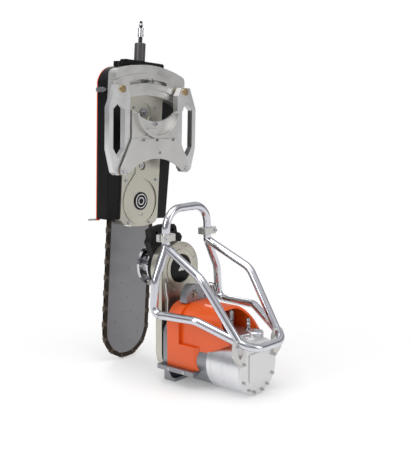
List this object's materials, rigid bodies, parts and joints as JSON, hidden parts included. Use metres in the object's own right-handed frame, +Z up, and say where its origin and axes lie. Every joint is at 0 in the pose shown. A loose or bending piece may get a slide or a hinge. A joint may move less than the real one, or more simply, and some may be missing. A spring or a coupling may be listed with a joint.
{
  "type": "concrete chain saw",
  "caption": "Rail-mounted concrete saw drive in a tubular carrying frame, with a swinging spindle arm and a separate guarded chain cutting head standing behind it.",
  "frame": {"origin": "middle of the sole of the rail jaw, on the floor", "axes": "+X along the rail, +Y from the motor towards the cutting side, +Z up"},
  "size_m": [0.4094, 0.64, 1.1088],
  "materials": {
    "orange_paint": "gloss",
    "polished_tube": "polished",
    "satin_aluminium": "satin",
    "champagne_casting": "satin",
    "light_plate": "satin",
    "silver_paint": "satin",
    "grey_paint": "satin",
    "black_cap": "gloss",
    "chrome_flange": "polished",
    "steel": "satin",
    "bar_steel": "satin",
    "dark_steel": "oiled",
    "black_paint": "satin",
    "orange_plate": "satin",
    "brass": "polished",
    "zinc_screws": "satin",
    "copper_stack": "satin"
  },
  "bodies": {
    "drive_unit": {"motor_case": "silver_paint", "motor_ring": "grey_paint", "motor_end_cap": "light_plate", "rating_plate": "light_plate", "stator": "copper_stack", "housing_cover": "orange_paint", "gearbox": "grey_paint", "shoe_plate": "grey_paint", "rail_jaw": "grey_paint", "frame_hoop": "polished_tube", "frame_ring": "polished_tube", "frame_brace_left": "polished_tube", "frame_brace_right": "polished_tube", "hoop_clamps": "satin_aluminium", "cap_hangers": "satin_aluminium", "motor_top_case": "silver_paint", "socket_bolts": "zinc_screws", "water_fittings": "steel", "socket_mount": "grey_paint"},
    "rotor_body": {"rotor": "steel"},
    "pinion_body": {"feed_pinion": "steel"},
    "sleeve_body": {"coupling_sleeve": "steel"},
    "key_body": {"socket_key": "brass"},
    "lever_body": {"latch_lever": "steel"},
    "arm": {"arm_case": "champagne_casting", "arm_lid": "champagne_casting", "lid_screws": "zinc_screws", "hub_cap": "black_cap"},
    "input_gear_body": {"input_gear": "steel"},
    "idler_gear_body": {"idler_gear": "steel"},
    "spindle_body": {"spindle": "steel", "inner_flange": "chrome_flange", "outer_flange": "chrome_flange"},
    "guard_holder_body": {"guard_holder": "black_paint"},
    "chain_head": {"guard_shell": "black_paint", "guard_back": "orange_plate", "front_frame": "satin_aluminium", "gear_case": "champagne_casting", "case_screws": "zinc_screws", "bearing_cap": "black_cap", "guide_bar": "bar_steel", "chain_tie_links": "dark_steel", "chain_cutters": "dark_steel", "top_cap": "black_paint", "hose_post": "grey_paint", "hose_nipple": "steel"},
    "sprocket_body": {"drive_sprocket": "steel"},
    "lower_idler_body": {"head_idler_lower": "steel"},
    "upper_idler_body": {"head_idler_upper": "steel"},
    "head_input_body": {"head_input": "steel"},
    "nose_wheel_body": {"nose_sprocket": "steel"},
    "wing_screw_body": {"wing_screw": "steel"},
    "clamp_screw_body": {"clamp_screw": "steel"},
    "bracket": {"arc_band": "satin_aluminium", "bracket_plate": "satin_aluminium", "handle_left": "light_plate", "handle_right": "light_plate", "cradle": "satin_aluminium", "brass_fittings": "brass", "bracket_screws": "zinc_screws"}
  },
  "joints": [
    {"name": "rotor_spin", "type": "hinge", "parent": "drive_unit", "child": "rotor_body", "pos_m": [0, -0.2, 0.0865], "axis": [0, 1, 0], "continuous": true},
    {"name": "feed_pinion_spin", "type": "hinge", "parent": "drive_unit", "child": "pinion_body", "pos_m": [0, -0.0405, 0.03], "axis": [0, 0, 1], "continuous": true},
    {"name": "coupling_sleeve_slide", "type": "slide", "parent": "drive_unit", "child": "sleeve_body", "axis": [0, 0, 1], "range_m": [-0.003, 0], "stiffness_N_per_m": 900, "springref_m": 0.002},
    {"name": "socket_key_turn", "type": "hinge", "parent": "drive_unit", "child": "key_body", "pos_m": [-0.02, -0.046, 0.272], "axis": [0, 1, 0], "range_deg": [-90, 90]},
    {"name": "latch_lever_swing", "type": "hinge", "parent": "drive_unit", "child": "lever_body", "pos_m": [0.066, -0.04, 0.257], "axis": [0, 1, 0], "range_deg": [-60, 60]},
    {"name": "arm_swing", "type": "hinge", "parent": "drive_unit", "child": "arm", "pos_m": [0, 0.03, 0.0865], "axis": [0, 1, 0], "range_deg": [-90, 90]},
    {"name": "input_gear_spin", "type": "hinge", "parent": "arm", "child": "input_gear_body", "pos_m": [0, 0.04, 0.0865], "axis": [0, 1, 0], "continuous": true},
    {"name": "idler_gear_spin", "type": "hinge", "parent": "arm", "child": "idler_gear_body", "pos_m": [0, 0.045, 0.208], "axis": [0, 1, 0], "continuous": true},
    {"name": "saw_spindle_spin", "type": "hinge", "parent": "arm", "child": "spindle_body", "pos_m": [0, 0.1, 0.3385], "axis": [0, 1, 0], "continuous": true},
    {"name": "guard_holder_swivel", "type": "hinge", "parent": "arm", "child": "guard_holder_body", "pos_m": [0, 0.094, 0.3385], "axis": [0, 1, 0], "range_deg": [-90, 90]},
    {"name": "head_lift_off", "type": "slide", "parent": "drive_unit", "child": "chain_head", "axis": [0, 0, 1], "range_m": [0, 0.5]},
    {"name": "sprocket_spin", "type": "hinge", "parent": "chain_head", "child": "sprocket_body", "pos_m": [0.04348, 0.29, 0.52812], "axis": [0, 1, 0], "continuous": true},
    {"name": "lower_idler_spin", "type": "hinge", "parent": "chain_head", "child": "lower_idler_body", "pos_m": [0.05122, 0.265, 0.6223], "axis": [0, 1, 0], "continuous": true},
    {"name": "upper_idler_spin", "type": "hinge", "parent": "chain_head", "child": "upper_idler_body", "pos_m": [0.05934, 0.265, 0.72096], "axis": [0, 1, 0], "continuous": true},
    {"name": "head_input_spin", "type": "hinge", "parent": "chain_head", "child": "head_input_body", "pos_m": [0.06708, 0.265, 0.81515], "axis": [0, 1, 0], "continuous": true},
    {"name": "nose_wheel_spin", "type": "hinge", "parent": "chain_head", "child": "nose_wheel_body", "pos_m": [0.0086, 0.29, 0.10385], "axis": [0, 1, 0], "continuous": true},
    {"name": "wing_screw_turn", "type": "hinge", "parent": "chain_head", "child": "wing_screw_body", "pos_m": [-0.08188, 0.279, 0.8889], "axis": [-0.9966, 0, 0.0819], "continuous": true},
    {"name": "clamp_screw_turn", "type": "hinge", "parent": "chain_head", "child": "clamp_screw_body", "pos_m": [0.06106, 0.215, 0.91522], "axis": [0, 1, 0], "continuous": true},
    {"name": "bracket_swing", "type": "hinge", "parent": "chain_head", "child": "bracket", "pos_m": [0.04348, 0.2, 0.52812], "axis": [0, 1, 0], "range_deg": [-8, 8]}
  ],
  "couplings": [
    {"joint": "input_gear_spin", "follows": "rotor_spin", "ratio": 0.33333},
    {"joint": "idler_gear_spin", "follows": "rotor_spin", "ratio": -0.21769},
    {"joint": "saw_spindle_spin", "follows": "rotor_spin", "ratio": 0.2807},
    {"joint": "lower_idler_spin", "follows": "sprocket_spin", "ratio": -0.90909},
    {"joint": "upper_idler_spin", "follows": "sprocket_spin", "ratio": 0.90909},
    {"joint": "head_input_spin", "follows": "sprocket_spin", "ratio": -1},
    {"joint": "nose_wheel_spin", "follows": "sprocket_spin", "ratio": 1}
  ]
}
